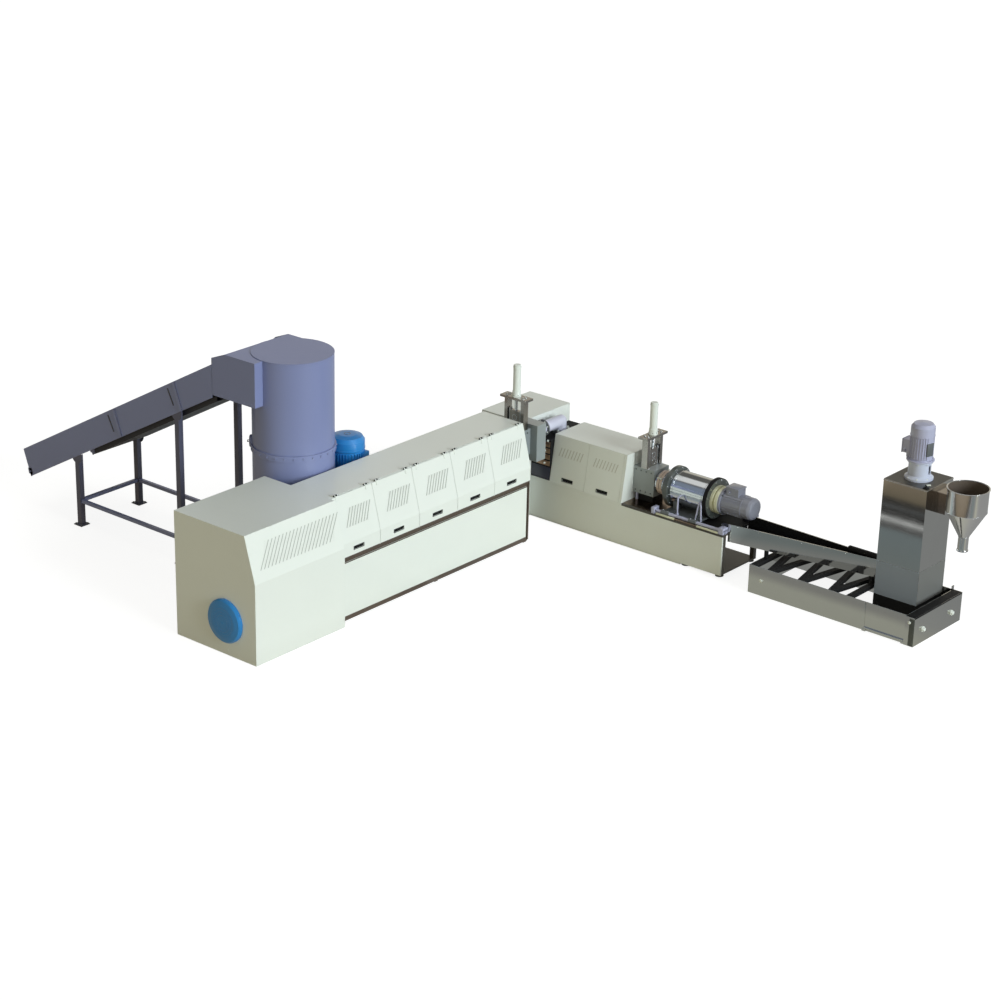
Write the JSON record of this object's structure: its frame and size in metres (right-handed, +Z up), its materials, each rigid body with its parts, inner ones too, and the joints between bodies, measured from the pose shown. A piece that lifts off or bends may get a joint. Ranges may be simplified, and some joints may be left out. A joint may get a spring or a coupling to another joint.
{
  "type": "plastic recycling machine",
  "caption": "Two-stage recycling and pelletizing line: inclined belt, round compactor, extruder with hinged guards, second extruder, cutter, pellet trough, dryer tower and cyclone.",
  "frame": {"origin": "on the floor, in the middle of the first drive housing's footprint", "axes": "+Z up; +X along the second stage, towards the dryer; +Y along the first extruder, away from its drive"},
  "size_m": [11.552, 6.812, 3.015],
  "materials": {
    "barrel_steel": "heat-stained steel",
    "belt_rubber": "matt",
    "black_paint": "satin paint",
    "blue_grey_paint": "semi-gloss paint",
    "brown_frame": "satin paint",
    "cream_paint": "satin paint",
    "dark_steel": "matt heat-proof paint",
    "ivory_paint": "satin paint",
    "lavender_paint": "satin paint",
    "motor_blue": "gloss paint",
    "polished_steel": "polished",
    "stainless": "brushed",
    "white_paint": "gloss paint"
  },
  "bodies": {
    "root": {"barrel_cover": "ivory_paint", "bed_frame": "dark_steel", "bed_panels": "ivory_paint", "compactor_band": "blue_grey_paint", "compactor_base": "blue_grey_paint", "compactor_ends": "blue_grey_paint", "compactor_legs": "blue_grey_paint", "compactor_motor": "motor_blue", "compactor_shell": "blue_grey_paint", "conveyor_belt": "belt_rubber", "conveyor_legs": "blue_grey_paint", "conveyor_pan": "dark_steel", "conveyor_pulleys": "barrel_steel", "conveyor_rails": "blue_grey_paint", "conveyor_sides": "blue_grey_paint", "cover_doors": "ivory_paint", "cyclone": "stainless", "die_head": "dark_steel", "drive_housing": "ivory_paint", "drive_motor_cowl": "motor_blue", "dryer_base": "stainless", "dryer_motor": "lavender_paint", "dryer_tower": "stainless", "elbow_box": "dark_steel", "extruder_frame": "brown_frame", "extruder_panels": "ivory_paint", "extruder_roof": "ivory_paint", "feed_box": "black_paint", "feed_hood": "blue_grey_paint", "feed_throat": "dark_steel", "first_barrel": "barrel_steel", "melt_line": "lavender_paint", "motor_lantern": "white_paint", "outlet_duct": "stainless", "pellet_trough": "stainless", "screen_blocks": "dark_steel", "screen_rams": "white_paint", "screen_yokes": "dark_steel", "second_drive_housing": "ivory_paint", "slide_rods": "lavender_paint", "trough_braces": "black_paint"},
    "guard_door_1": {"guard_door_1": "ivory_paint"},
    "guard_door_2": {"guard_door_2": "ivory_paint"},
    "guard_door_3": {"guard_door_3": "ivory_paint"},
    "guard_door_4": {"guard_door_4": "ivory_paint"},
    "guard_door_5": {"guard_door_5": "ivory_paint"},
    "cutter": {"cutter_chamber": "polished_steel", "cutter_coupling": "cream_paint", "cutter_motor": "lavender_paint", "cutter_carriage": "dark_steel"}
  },
  "joints": [
    {"name": "guard_door_1_hinge", "type": "hinge", "parent": "root", "child": "guard_door_1", "pos_m": [0.43, 1.113, 1.614], "axis": [0, -1, 0], "range_deg": [0, 85]},
    {"name": "guard_door_2_hinge", "type": "hinge", "parent": "root", "child": "guard_door_2", "pos_m": [0.43, 1.829, 1.614], "axis": [0, -1, 0], "range_deg": [0, 85]},
    {"name": "guard_door_3_hinge", "type": "hinge", "parent": "root", "child": "guard_door_3", "pos_m": [0.43, 2.545, 1.614], "axis": [0, -1, 0], "range_deg": [0, 85]},
    {"name": "guard_door_4_hinge", "type": "hinge", "parent": "root", "child": "guard_door_4", "pos_m": [0.43, 3.261, 1.614], "axis": [0, -1, 0], "range_deg": [0, 85]},
    {"name": "guard_door_5_hinge", "type": "hinge", "parent": "root", "child": "guard_door_5", "pos_m": [0.43, 3.977, 1.614], "axis": [0, -1, 0], "range_deg": [0, 85]},
    {"name": "cutter_slide", "type": "slide", "parent": "root", "child": "cutter", "axis": [1, 0, 0], "range_m": [0, 0.25]}
  ]
}
